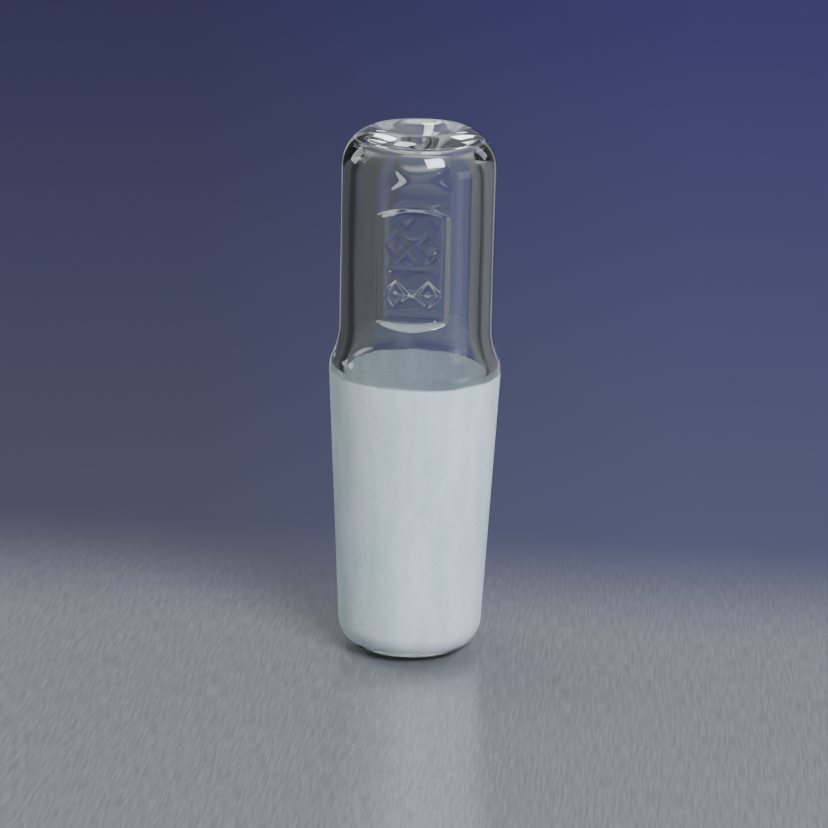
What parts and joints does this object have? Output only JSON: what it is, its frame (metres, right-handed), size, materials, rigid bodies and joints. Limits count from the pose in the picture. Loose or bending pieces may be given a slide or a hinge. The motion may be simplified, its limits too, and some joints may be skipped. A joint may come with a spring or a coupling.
{
  "type": "glass stopper",
  "caption": "Hollow laboratory stopper of clear glass, with a dished round head, a flat panel on its front and back, and a long ground taper that seals a matching socket.",
  "frame": {"origin": "centre of the flat foot, on the surface that the stopper stands on", "axes": "+Z along the stopper's axis, from the foot to the head; the flat panels with the moulded marks face -Y and +Y"},
  "size_m": [0.024, 0.024, 0.075],
  "materials": {
    "glass": "polished head and foot, ground taper"
  },
  "bodies": {
    "root": {"stopper": "glass"}
  },
  "joints": []
}
